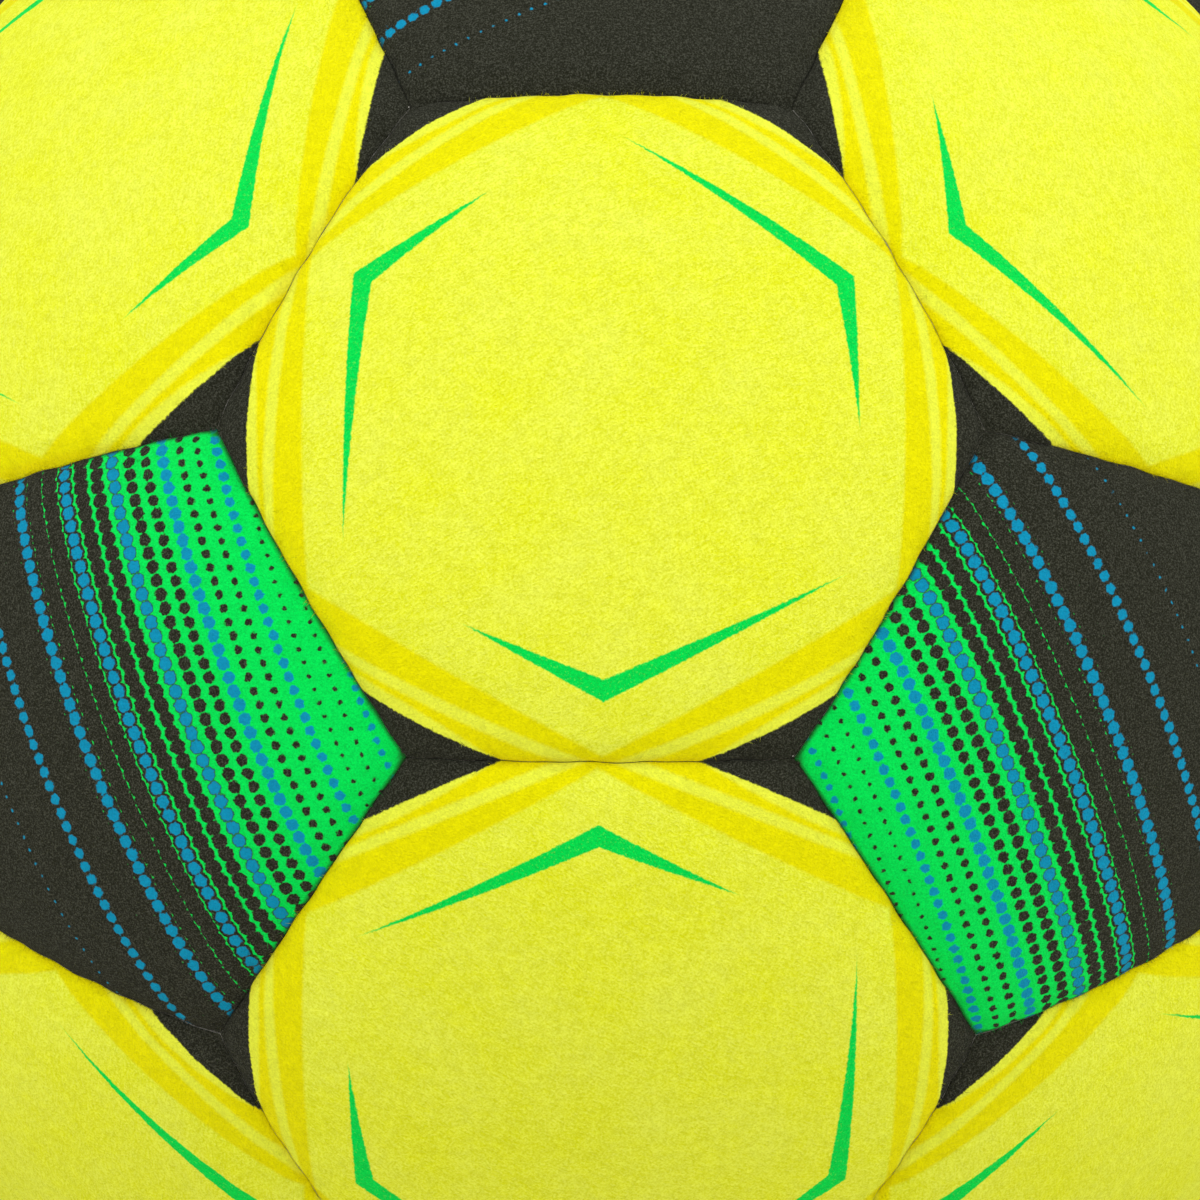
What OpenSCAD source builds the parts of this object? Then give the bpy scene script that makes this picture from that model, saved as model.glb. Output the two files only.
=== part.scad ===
// Indoor soccer ball: felt panels with a foam back and a woven lining, stitched round a rubber bladder.
// The origin is the ball's centre and +Z is up. A seam between two hexagons faces -Y.

/* [Ball] */
// Diameter across the middles of the panels
ball_d = 220; // [210:1:224]
// How far a panel's surface falls from its middle to the middle of its edges
crown_drop = 0.5; // [0.4:0.1:1]
// Gap between the felt of two neighbouring panels
seam_gap = 0.4; // [0.3:0.1:0.8]

/* [Cover] */
// Thickness of the felt
felt_t = 2; // [1.6:0.1:2.2]
// Thickness of the foam behind the felt
foam_t = 2; // [1.6:0.1:2.2]
// Thickness of the woven lining behind the foam
lining_t = 0.8; // [0.6:0.1:0.9]
// Width of the lining's edge that is turned in behind each seam
hem_w = 5; // [4:0.5:6]
// Diameter of the stitching thread
thread_d = 0.9; // [0.6:0.1:1]

/* [Bladder] */
// Thickness of the bladder's wall
bladder_t = 1.2; // [0.8:0.1:1.5]
// Diameter of the two round patches on the bladder
patch_d = 44; // [36:1:48]
// Thickness of the patch round the valve
patch_t = 0.6; // [0.4:0.1:0.7]

/* [Valve] */
// Diameter of the hole through the cover
cover_hole_d = 9.2; // [9.2:0.1:10]
// Diameter of the valve's neck in that hole
neck_d = 9; // [8.6:0.1:9]
// How far the neck's top sits below the felt's surface
neck_recess = 1.2; // [1:0.1:1.6]
// Diameter of the valve's tube inside the bladder
tube_d = 12; // [11:0.5:14]
// Length of the valve from the neck's top to the tube's end
valve_l = 22.8; // [21:0.1:26]
// Diameter of the flange that is bonded to the patch
flange_d = 20; // [18:1:22]

/* [Valve plug] */
// Diameter of the plug's head
plug_head_d = 6.6; // [6:0.1:7]
// Thickness of the plug's head
plug_head_t = 1.6; // [1.2:0.1:2]
// Diameter of the plug's shaft
plug_shaft_d = 5; // [4.6:0.1:5.2]
// Length of the plug's shaft
plug_shaft_l = 16; // [14:0.5:17]
// Diameter of the hole for the pump's needle
needle_hole_d = 2.2; // [2:0.1:2.4]
// Depth of the hole for the pump's needle
needle_hole_l = 13; // [10:0.5:14]

/* [Hidden] */
$fn = 128;
ball_r = ball_d / 2;
phi = (1 + sqrt(5)) / 2;
bite = 0.1;

// Twelve pentagons stand at an icosahedron's corners, and twenty hexagons at its faces
pent_axes = [
    for (turn = [0 : 2], a = [-1, 1], b = [-phi, phi]) [for (k = [0 : 2]) [a, b, 0][(k - turn + 3) % 3]]
];
hex_faces = [
    for (i = [0 : 9]) for (j = [i + 1 : 10]) for (k = [j + 1 : 11])
        if (touching(i, j) && touching(j, k) && touching(i, k)) [i, j, k]
];
hex_axes = [for (face = hex_faces) pent_axes[face[0]] + pent_axes[face[1]] + pent_axes[face[2]]];

// Angles at the ball's centre, from a panel's middle to its edges and to its corners
face = hex_faces[0];
hex_edge_angle = angle_between(hex_axes[0], pent_axes[face[0]] + pent_axes[face[1]]);
pent_edge_angle = angle_between(pent_axes[face[0]], edge_start(face, 0) + edge_end(face, 0));
pent_corner_angle = angle_between(pent_axes[face[0]], edge_start(face, 0));

// Each panel is domed: its layers are spheres about a point between the ball's centre and the panel
hex_dome_z = dome_z(hex_edge_angle);
pent_dome_z = dome_z(pent_edge_angle);
foam_top = felt_t;
lining_top = foam_top + foam_t;
lining_bottom = lining_top + lining_t;
hem_bottom = lining_bottom + lining_t;
thread_room = 0.1;
hem_gap = thread_d + 2 * thread_room;

// The bladder is a sphere that just clears the hems at the pentagons' corners
bladder_room = 0.1;
bladder_r = dome_r(pent_dome_z, hem_bottom, pent_corner_angle) - bladder_room;
thread_path_r = bladder_r + bladder_room + lining_t;
thread_end_gap = 1.2;

// The valve is in the middle of a hexagon at the top of the ball
valve_axis = [-1 / phi, 0, phi];
valve_face = [for (f = [0 : len(hex_faces) - 1]) if (same_way(hex_axes[f], valve_axis)) f][0];
neck_top = ball_r - neck_recess;
tube_end = neck_top - valve_l;
flange_room = 0.3;
flange_top_r = ball_r - lining_bottom - flange_room;
plug_room = 0.05;
head_room = 0.1;
head_seat = neck_top - plug_head_t - head_room;
plug_tip = head_seat + head_room - plug_shaft_l;
plug_tip_room = 0.4;
plug_groove_d = plug_shaft_d - 0.6;
plug_groove_h = 0.8;
plug_groove_pitch = 2;
plug_groove_count = 3;
needle_funnel_d = 4;
needle_funnel_t = 0.9;
needle_exit_d = 2.4;

hexagon_names = [for (f = [1 : len(hex_faces)]) str("hexagon_felt_", two_digits(f))];
pentagon_names = [for (p = [1 : len(pent_axes)]) str("pentagon_felt_", two_digits(p))];

function unit(v) = v / norm(v);
function angle_between(a, b) = acos(unit(a) * unit(b));
function same_way(a, b) = norm(unit(a) - unit(b)) < 0.1;
// Neighbouring corners of this icosahedron are 2 apart
function touching(i, j) = norm(pent_axes[i] - pent_axes[j]) < 2 + bite;
function two_digits(n) = str(n < 10 ? "0" : "", n);

// The two ends of the seam between a hexagon and the pentagon at its corner k
function edge_start(face, k) = (2 * pent_axes[face[k]] + pent_axes[face[(k + 1) % 3]]) / 3;
function edge_end(face, k) = (2 * pent_axes[face[k]] + pent_axes[face[(k + 2) % 3]]) / 3;

// Height of the point about which a panel is domed, so that its edge falls by crown_drop
function dome_z(edge_angle) =
    let (edge_r = ball_r - crown_drop)
    (ball_r * ball_r - edge_r * edge_r) / (2 * (ball_r - edge_r * cos(edge_angle)));

// Distance from the ball's centre to a layer of a domed panel, at an angle from its middle
function dome_r(z, depth, angle) =
    z * cos(angle) + sqrt(pow(ball_r - z - depth, 2) - pow(z * sin(angle), 2));

// Turn that lays +Z along one direction and +X on the side of another
function facing(z, x) =
    let (w = unit(z), u = unit(x - (x * w) * w), v = cross(w, u))
    [[u.x, v.x, w.x, 0], [u.y, v.y, w.y, 0], [u.z, v.z, w.z, 0], [0, 0, 0, 1]];

module at_hexagon(f) {
    multmatrix(facing(hex_axes[f], pent_axes[hex_faces[f][0]])) children();
}

module at_pentagon(p) {
    next_face = [for (f = [0 : len(hex_faces) - 1]) if (len(search(p, hex_faces[f])) > 0) f][0];
    multmatrix(facing(pent_axes[p], hex_axes[next_face])) children();
}

module at_valve() {
    at_hexagon(valve_face) children();
}

// The space inside a panel's edges, out from the ball's centre
module panel_wedge(sides, edge_angle, gap) {
    reach = 1.2 * ball_r;
    intersection_for (k = [0 : sides - 1])
        rotate([0, 0, k * 360 / sides])
            rotate([0, edge_angle, 0])
                translate([-2 * reach - gap / 2, -reach, 0])
                    cube([2 * reach, 2 * reach, reach]);
}

// A sphere with its poles turned to the sides, away from the panel on +Z
module ball_surface(r) {
    rotate([90, 0, 0]) sphere(r = r);
}

// One layer of a domed panel, between two depths below its surface
module panel_layer(sides, edge_angle, z, top, bottom, gap) {
    difference() {
        intersection() {
            panel_wedge(sides, edge_angle, gap);
            translate([0, 0, z]) ball_surface(ball_r - z - top);
        }
        translate([0, 0, z]) ball_surface(ball_r - z - bottom);
    }
}

// The lining, doubled along its edges where it is turned in
module panel_lining(sides, edge_angle, z) {
    difference() {
        panel_layer(sides, edge_angle, z, lining_top, hem_bottom, hem_gap);
        panel_layer(sides, edge_angle, z, lining_bottom, hem_bottom + bite, hem_gap + 2 * hem_w);
    }
}

module cover_hole() {
    translate([0, 0, tube_end]) cylinder(d = cover_hole_d, h = 2 * valve_l);
}

// The valve's tube, and the hole that it fills in the bladder and the patch
module tube_outline() {
    translate([0, 0, tube_end]) cylinder(d = tube_d, h = valve_l);
}

module hexagon_layer(f, top, bottom) {
    at_hexagon(f) difference() {
        panel_layer(6, hex_edge_angle, hex_dome_z, top, bottom, seam_gap);
        if (f == valve_face) cover_hole();
    }
}

module pentagon_layer(p, top, bottom) {
    at_pentagon(p) panel_layer(5, pent_edge_angle, pent_dome_z, top, bottom, seam_gap);
}

// A thread along the seam between two corners of the panels
module seam_thread(start, end) {
    end_turn = thread_end_gap / thread_path_r * 180 / PI;
    multmatrix(facing(cross(start, end), start))
        rotate([0, 0, end_turn])
            rotate_extrude(angle = angle_between(start, end) - 2 * end_turn)
                translate([thread_path_r, 0]) circle(d = thread_d);
}

// A round patch on the bladder, seen from the ball's centre along +Z
module round_patch(thickness) {
    difference() {
        intersection() {
            ball_surface(bladder_r + thickness);
            cylinder(d = patch_d, h = ball_d);
        }
        ball_surface(bladder_r);
    }
}

module hexagon_felt(f) {
    color([0.93, 0.96, 0.25]) hexagon_layer(f, 0, foam_top);
}

module pentagon_felt(p) {
    color([0.16, 0.16, 0.16]) pentagon_layer(p, 0, foam_top);
}

module hexagon_foam() {
    color([0.93, 0.92, 0.88]) for (f = [0 : len(hex_faces) - 1]) hexagon_layer(f, foam_top, lining_top);
}

module pentagon_foam() {
    color([0.93, 0.92, 0.88]) for (p = [0 : len(pent_axes) - 1]) pentagon_layer(p, foam_top, lining_top);
}

module hexagon_lining() {
    color([0.82, 0.82, 0.78])
        for (f = [0 : len(hex_faces) - 1])
            at_hexagon(f) difference() {
                panel_lining(6, hex_edge_angle, hex_dome_z);
                if (f == valve_face) cover_hole();
            }
}

module pentagon_lining() {
    color([0.82, 0.82, 0.78])
        for (p = [0 : len(pent_axes) - 1])
            at_pentagon(p) panel_lining(5, pent_edge_angle, pent_dome_z);
}

// The seams between two hexagons
module hexagon_seam_thread() {
    color([0.2, 0.2, 0.18])
        for (i = [0 : 10]) for (j = [i + 1 : 11])
            if (touching(i, j))
                seam_thread(2 * pent_axes[i] + pent_axes[j], pent_axes[i] + 2 * pent_axes[j]);
}

// The seams between a pentagon and a hexagon
module pentagon_seam_thread() {
    color([0.2, 0.2, 0.18])
        for (face = hex_faces, k = [0 : 2])
            seam_thread(edge_start(face, k), edge_end(face, k));
}

module bladder() {
    color([0.12, 0.12, 0.13]) difference() {
        sphere(r = bladder_r);
        sphere(r = bladder_r - bladder_t);
        at_valve() tube_outline();
    }
}

module valve_patch() {
    color([0.25, 0.25, 0.26]) at_valve() difference() {
        round_patch(patch_t);
        tube_outline();
    }
}

// Opposite the valve, and thicker than its patch to balance it
module balance_patch() {
    color([0.25, 0.25, 0.26]) at_valve() mirror([0, 0, 1]) round_patch(2 * patch_t);
}

module valve_body() {
    color([0.1, 0.1, 0.1]) at_valve() difference() {
        union() {
            translate([0, 0, tube_end]) cylinder(d = neck_d, h = valve_l);
            intersection() {
                ball_surface(flange_top_r);
                tube_outline();
            }
            difference() {
                intersection() {
                    ball_surface(flange_top_r);
                    translate([0, 0, tube_end]) cylinder(d = flange_d, h = valve_l);
                }
                ball_surface(bladder_r + patch_t);
            }
        }
        translate([0, 0, head_seat]) cylinder(d = plug_head_d + 2 * head_room, h = valve_l);
        translate([0, 0, plug_tip - plug_tip_room]) cylinder(d = plug_shaft_d + 2 * plug_room, h = valve_l);
        translate([0, 0, tube_end - bite]) cylinder(d = needle_exit_d, h = valve_l);
    }
}

// The plug that seals the valve: its needle hole ends in rubber that closes up by itself
module valve_plug() {
    head_bottom = head_seat + head_room;
    head_top = head_bottom + plug_head_t;
    color([0.2, 0.2, 0.21]) at_valve() difference() {
        union() {
            translate([0, 0, plug_tip]) cylinder(d = plug_shaft_d, h = plug_shaft_l);
            translate([0, 0, head_bottom]) cylinder(d = plug_head_d, h = plug_head_t);
        }
        for (k = [1 : plug_groove_count])
            translate([0, 0, plug_tip + k * plug_groove_pitch]) difference() {
                cylinder(d = plug_head_d, h = plug_groove_h);
                translate([0, 0, -bite]) cylinder(d = plug_groove_d, h = plug_groove_h + 2 * bite);
            }
        translate([0, 0, head_top - needle_hole_l]) cylinder(d = needle_hole_d, h = needle_hole_l + bite);
        translate([0, 0, head_top - needle_funnel_t])
            cylinder(d1 = needle_hole_d, d2 = needle_funnel_d, h = needle_funnel_t + bite);
    }
}

for (f = [0 : len(hex_faces) - 1]) hexagon_felt(f);
for (p = [0 : len(pent_axes) - 1]) pentagon_felt(p);
hexagon_foam();
pentagon_foam();
hexagon_lining();
pentagon_lining();
hexagon_seam_thread();
pentagon_seam_thread();
bladder();
valve_patch();
balance_patch();
valve_body();
valve_plug();
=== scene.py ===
import itertools
import math

import bpy
import numpy as np
from mathutils import Matrix, Vector


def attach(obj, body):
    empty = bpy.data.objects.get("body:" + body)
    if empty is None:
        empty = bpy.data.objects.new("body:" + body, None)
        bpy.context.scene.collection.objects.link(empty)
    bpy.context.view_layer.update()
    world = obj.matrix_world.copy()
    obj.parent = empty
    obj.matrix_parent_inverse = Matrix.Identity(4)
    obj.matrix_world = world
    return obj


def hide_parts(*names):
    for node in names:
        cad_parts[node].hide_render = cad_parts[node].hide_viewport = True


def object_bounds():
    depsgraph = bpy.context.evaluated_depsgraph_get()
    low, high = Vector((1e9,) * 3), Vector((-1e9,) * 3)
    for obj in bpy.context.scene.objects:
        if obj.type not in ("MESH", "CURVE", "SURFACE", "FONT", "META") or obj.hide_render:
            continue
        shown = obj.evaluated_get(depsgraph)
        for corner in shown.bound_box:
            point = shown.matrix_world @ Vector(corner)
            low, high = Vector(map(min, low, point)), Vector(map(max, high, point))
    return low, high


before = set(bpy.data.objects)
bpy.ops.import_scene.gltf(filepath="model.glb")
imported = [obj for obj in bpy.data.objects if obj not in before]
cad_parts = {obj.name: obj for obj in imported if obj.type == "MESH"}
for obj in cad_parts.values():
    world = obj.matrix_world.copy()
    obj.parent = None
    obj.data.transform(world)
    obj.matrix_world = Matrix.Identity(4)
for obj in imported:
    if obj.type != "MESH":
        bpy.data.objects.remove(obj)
cad_box = [list(corner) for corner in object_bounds()]


# Hexagon felts
# Twenty panels of yellow needle felt with stripes, chevrons and black corners printed on them. Each is
# a regular hexagon, crowned over its foam, and rolls in along the edges where it is sewn to the next.
MM = 0.001
BALL_R = 110 * MM
CROWN_DROP = 0.5 * MM
FELT_T = 2 * MM
EDGE_ROLL = 3.6 * MM
EDGE_DEPTH = 0.9 * MM
EDGE_FULLNESS = 1.6
SWELL_REACH = 14 * MM
SWELL_DEPTH = 0.9 * MM
SEAM_HALF_GAP = 0.04 * MM
STITCH_PULL = 0.1 * MM
STITCH_REACH = 2.6 * MM
STITCHES_PER_EDGE = 8
SEAM_WOBBLE = 0.1 * MM
WOBBLE_REACH = 3 * MM
WOBBLE_WAVES = ((0.6, 5), (0.4, 8))
CORNER_SOFTNESS = 1.0 * MM
FELT_RELIEF = 0.035 * MM
FELT_WAVES = 28
WAVE_LENGTHS = (0.035, 0.12)
FELT_RINGS = 64
ROLL_RINGS = 16
BACK_RINGS = 12
BACK_INSET = 0.4 * MM
FELT_SMOOTH_ANGLE = math.radians(50)
NEIGHBOUR_LIMIT = 2.1
NEAR_ZERO = 1e-9

phi = (1 + 5 ** 0.5) / 2
pent_axes = [
    Vector([(a, b, 0)[(k - turn) % 3] for k in range(3)])
    for turn in range(3) for a in (-1, 1) for b in (-phi, phi)
]
hex_faces = [
    face for face in itertools.combinations(range(12), 3)
    if all((pent_axes[i] - pent_axes[j]).length < NEIGHBOUR_LIMIT for i, j in itertools.combinations(face, 2))
]
hex_axes = [sum((pent_axes[i] for i in face), Vector()) for face in hex_faces]
hex_edge_angle = hex_axes[0].angle(pent_axes[hex_faces[0][0]] + pent_axes[hex_faces[0][1]])

felt_waves = np.random.default_rng(seed=7)
wave_ways = felt_waves.uniform(0, 2 * math.pi, FELT_WAVES)
wave_counts = 2 * math.pi / felt_waves.uniform(*WAVE_LENGTHS, FELT_WAVES)
wave_starts = felt_waves.uniform(0, 2 * math.pi, FELT_WAVES)


def facing(z, x):
    """The turn that lays +Z along one direction and +X on the side of another."""
    w = z.normalized()
    u = (x - x.dot(w) * w).normalized()
    return Matrix((u, w.cross(u), w)).transposed().to_4x4()


def roll_depth(inward):
    """How far down the felt has rolled, from 0 where its face ends to 1 at its seam."""
    return 1 - (1 - inward ** EDGE_FULLNESS) ** (1 / EDGE_FULLNESS)


def panel_form(sides, edge_angle):
    """A panel's sizes: its dome's centre and the distance from its middle to its seam planes."""
    edge_r = BALL_R - CROWN_DROP
    dome_z = (BALL_R ** 2 - edge_r ** 2) / (2 * (BALL_R - edge_r * math.cos(edge_angle)))
    turns = 2 * math.pi * np.arange(sides) / sides
    reach = edge_r * math.sin(edge_angle) * math.cos(edge_angle)
    inward = np.sin(np.linspace(0, math.pi / 2, ROLL_RINGS + 1))
    roll_in = 1 - (EDGE_ROLL * (1 - inward) + SEAM_HALF_GAP) / reach
    places = np.concatenate([np.linspace(0, roll_in[0], FELT_RINGS - ROLL_RINGS + 1), roll_in[1:]])
    rolled = np.hypot(EDGE_ROLL * np.diff(inward), EDGE_DEPTH * np.diff(roll_depth(inward))).cumsum()
    lengths = np.concatenate([places[:-ROLL_RINGS], places[-ROLL_RINGS - 1] + rolled / reach])
    return {
        "sides": sides, "edge_angle": edge_angle, "dome_z": dome_z, "turns": turns, "reach": reach,
        "places": places, "lengths": lengths / lengths[-1],
    }


def across_edges(form, xy):
    """How far each place of the flat pattern lies towards each edge, with 1 on the edge."""
    return xy[:, :1] * np.cos(form["turns"]) + xy[:, 1:] * np.sin(form["turns"])


def dome_radius(form, xy, depth):
    """Directions from the ball's centre, and distances to the dome at that depth."""
    flat = np.column_stack([xy * math.tan(form["edge_angle"]), np.ones(len(xy))])
    ways = flat / np.linalg.norm(flat, axis=1, keepdims=True)
    dome_z = form["dome_z"]
    inside = (BALL_R - dome_z - depth) ** 2 - dome_z ** 2 * (1 - ways[:, 2] ** 2)
    return ways, dome_z * ways[:, 2] + np.sqrt(inside)


def edge_drop(form, xy):
    """How far the swollen felt sinks towards its seams and rolls into them."""
    distances = (1 - across_edges(form, xy)) * form["reach"] - SEAM_HALF_GAP
    sunk = np.clip(1 - distances / SWELL_REACH, 0, 1) ** 2
    swell = SWELL_DEPTH * (1 - np.prod(1 - sunk, axis=1))
    near = -CORNER_SOFTNESS * np.log(np.exp(-distances / CORNER_SOFTNESS).sum(axis=1))
    inward = EDGE_ROLL - np.clip(near, 0, EDGE_ROLL)
    return swell + EDGE_DEPTH * roll_depth(inward / EDGE_ROLL)


def on_felt(form, xy):
    """Points of the felt's face, with its rolled edges, the pull of its stitches and its uneven nap."""
    radius = dome_radius(form, xy, 0)[1]
    across = across_edges(form, xy)
    along = -xy[:, :1] * np.sin(form["turns"]) + xy[:, 1:] * np.cos(form["turns"])
    edge_half = math.tan(math.pi / form["sides"])
    pull = np.cos(math.pi * STITCHES_PER_EDGE * (along / edge_half + 1))
    pull = (pull * np.exp(-(1 - across) * form["reach"] / STITCH_REACH)).sum(axis=1) * STITCH_PULL
    waves = xy[:, :1] * np.cos(wave_ways) + xy[:, 1:] * np.sin(wave_ways)
    relief = np.sin(waves * wave_counts + wave_starts).mean(axis=1) * FELT_RELIEF * FELT_WAVES ** 0.5
    radius = radius - edge_drop(form, xy) + relief - pull
    # The wobble is odd along each edge, so that the two panels of a seam follow the same line
    wobble = sum(part * np.sin(count * math.pi * along / edge_half) for part, count in WOBBLE_WAVES)
    wobble = wobble * np.exp(-(1 - across) * form["reach"] / WOBBLE_REACH) * SEAM_WOBBLE / form["reach"]
    wobble = wobble * (np.abs(along) < edge_half)
    outward = np.stack([np.cos(form["turns"]), np.sin(form["turns"])], axis=1)
    sewn = np.column_stack([(xy + wobble @ outward) * math.tan(form["edge_angle"]), np.ones(len(xy))])
    return sewn / np.linalg.norm(sewn, axis=1, keepdims=True) * radius[:, None]


def flat_pattern(sides, cuts, name):
    """A panel's flat pattern, cut into small triangles, with edge middles 1 from its centre."""
    bpy.ops.object.select_all(action="DESELECT")
    bpy.ops.mesh.primitive_circle_add(
        vertices=sides, radius=1 / math.cos(math.pi / sides), fill_type="TRIFAN"
    )
    panel = bpy.context.object
    panel.name = name
    bpy.ops.object.mode_set(mode="EDIT")
    bpy.ops.mesh.select_all(action="SELECT")
    bpy.ops.mesh.subdivide(number_cuts=cuts)
    bpy.ops.object.mode_set(mode="OBJECT")
    xy = vertex_places(panel)[:, :2]
    turn = math.pi / sides - math.pi / 2
    c, s = math.cos(turn), math.sin(turn)
    return panel, xy @ np.array([[c, s], [-s, c]])


def vertex_places(piece):
    """The places of a piece's vertices, one row each."""
    places = np.zeros(len(piece.data.vertices) * 3)
    piece.data.vertices.foreach_get("co", places)
    return places.reshape(-1, 3)


def place_vertices(piece, places):
    """Moves a piece's vertices to new places."""
    piece.data.vertices.foreach_set("co", places.ravel())
    piece.data.update()


def felt_panel(name, form):
    """A closed panel: the felt's face, and a plainer back sewn to it round the edge."""
    face, xy = flat_pattern(form["sides"], FELT_RINGS - 1, name)
    ring = across_edges(form, xy).max(axis=1)
    even_rings = np.linspace(0, 1, FELT_RINGS + 1)
    xy = xy * (np.interp(ring, even_rings, form["places"]) / np.maximum(ring, NEAR_ZERO))[:, None]
    place_vertices(face, on_felt(form, xy))
    back, back_xy = flat_pattern(form["sides"], BACK_RINGS - 1, name + "_back")
    back_xy = back_xy * (1 - BACK_INSET / form["reach"])
    ways, radius = dome_radius(form, back_xy, FELT_T)
    place_vertices(back, ways * radius[:, None])
    bpy.ops.object.select_all(action="DESELECT")
    back.select_set(True)
    face.select_set(True)
    bpy.context.view_layer.objects.active = face
    bpy.ops.object.join()
    bpy.ops.object.mode_set(mode="EDIT")
    bpy.ops.mesh.select_mode(type="EDGE")
    bpy.ops.mesh.select_all(action="DESELECT")
    bpy.ops.mesh.select_non_manifold(
        use_wire=False, use_boundary=True, use_multi_face=False, use_non_contiguous=False, use_verts=False
    )
    bpy.ops.mesh.bridge_edge_loops()
    bpy.ops.mesh.select_all(action="SELECT")
    bpy.ops.mesh.quads_convert_to_tris()
    bpy.ops.mesh.normals_make_consistent(inside=False)
    bpy.ops.object.mode_set(mode="OBJECT")
    return face


FACE_DEPTH = 0.7 * MM
FACE_BAKE_REACH = 0.475
SMALL_BAKE_REACH = 0.08
BACK_BAKE_PLACE = (0.09, 0.09)
FUZZ_BAKE_PLACE = (0.91, 0.09)


def corner_vertices(mesh):
    """The vertex at each corner of a mesh's faces."""
    corners = np.zeros(len(mesh.loops), int)
    mesh.loops.foreach_get("vertex_index", corners)
    return corners


def lay_map(mesh, name, values):
    """Lays a flat map on the corners of a mesh's faces."""
    layer = mesh.uv_layers.get(name) or mesh.uv_layers.new(name=name)
    layer.data.foreach_set("uv", values.astype(np.float32).ravel())


def print_maps(panel, form):
    """The flat pattern as the map of the print, and a neat map for baking with the back set aside."""
    places = vertex_places(panel)
    xy = places[:, :2] / places[:, 2:] / math.tan(form["edge_angle"])
    ring = across_edges(form, xy).max(axis=1)
    unrolled = np.interp(ring, form["places"], form["lengths"]) / np.maximum(ring, NEAR_ZERO)
    corner = 1 / math.cos(math.pi / form["sides"])
    large = 0.5 + FACE_BAKE_REACH * xy * unrolled[:, None] / corner
    small = np.array(BACK_BAKE_PLACE) + SMALL_BAKE_REACH * xy / corner
    depth = dome_radius(form, xy, 0)[1] - np.linalg.norm(places, axis=1) - edge_drop(form, xy)
    on_face = depth < FACE_DEPTH
    mesh = panel.data
    corners = corner_vertices(mesh)
    starts = np.zeros(len(mesh.polygons), int)
    mesh.polygons.foreach_get("loop_start", starts)
    whole = np.minimum.reduceat(on_face[corners].astype(int), starts)
    sizes = np.diff(np.append(starts, len(corners)))
    shown = np.repeat(whole, sizes).astype(bool)
    lay_map(mesh, "panel_print", xy[corners])
    lay_map(mesh, "OFBake", np.where(shown[:, None], large[corners], small[corners]))


FUZZ_WIDTH = 0.02 * MM
FUZZ_SINK = 0.15 * MM
FUZZ_LEAN = 0.75
FUZZ_BEND = 0.45
LEAST_RISE = 0.15
SEAM_FUZZ_DEPTH = 1.5 * MM
SEAM_FUZZ_LENGTH = (0.4 * MM, 1.0 * MM)
FIELD_FUZZ_LENGTH = (0.35 * MM, 0.8 * MM)
FIELD_FUZZ_SPREAD = 1.25
# How far up a fibre its middle and its tip are, and how far they are bent aside
FIBRE_MIDDLE = (0.5, 0.12)
FIBRE_TIP = (0.9, 0.45)
MIDDLE_WIDTH = 0.8
FIBRE_POINTS = 7
FIBRE_PRINT = 0.1 * MM
FIBRE_BAKE = 0.002
NORMAL_STEP = 0.05 * MM


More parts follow.
